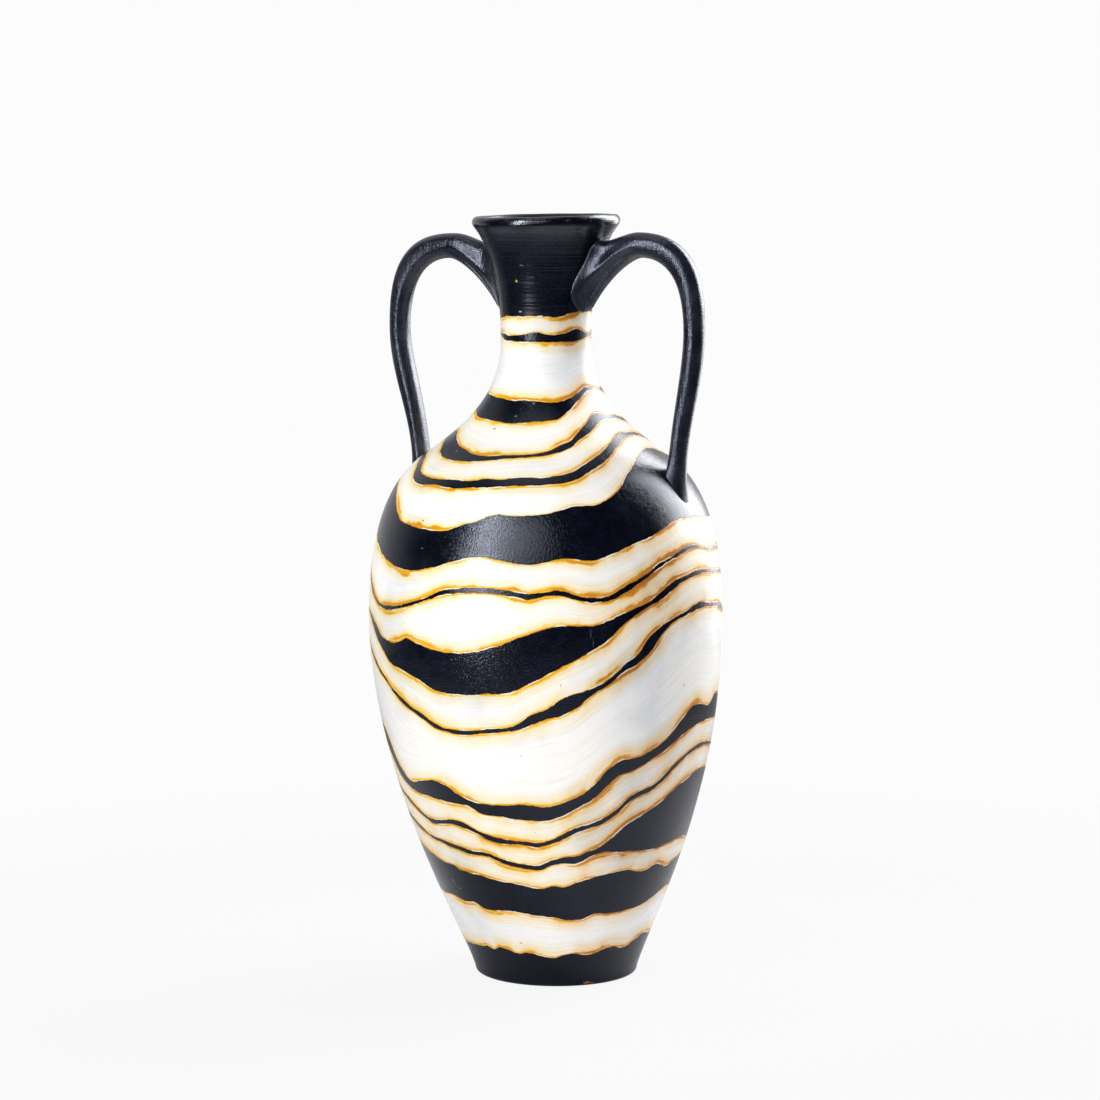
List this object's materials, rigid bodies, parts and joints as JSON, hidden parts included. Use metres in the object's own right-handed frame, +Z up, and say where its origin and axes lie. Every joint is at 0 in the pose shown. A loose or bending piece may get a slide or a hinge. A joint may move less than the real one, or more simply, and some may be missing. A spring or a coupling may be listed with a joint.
{
  "type": "two-handled ceramic vase",
  "caption": "Hand-thrown ceramic vase with a flared mouth, narrow neck, pulled strap handles and an egg-shaped body on a flat foot, painted in wavering ivory and black bands with ochre edges.",
  "frame": {"origin": "on the ground under the axis of the neck and shoulder", "axes": "+Z up along that axis to the mouth, +X towards the right handle, so the handles lie in the XZ plane"},
  "size_m": [0.215, 0.215, 0.46],
  "materials": {
    "ivory_paint": "satin paint, wavering bands",
    "black_paint": "satin paint",
    "terracotta_slip": "matte fired slip"
  },
  "bodies": {
    "root": {"lower_body": "ivory_paint", "shoulder": "ivory_paint", "neck": "black_paint", "belly_slip": "terracotta_slip", "neck_slip": "terracotta_slip", "handle_right": "black_paint", "handle_left": "black_paint", "right_upper_slip": "terracotta_slip", "right_lower_slip": "terracotta_slip", "left_upper_slip": "terracotta_slip", "left_lower_slip": "terracotta_slip"}
  },
  "joints": []
}
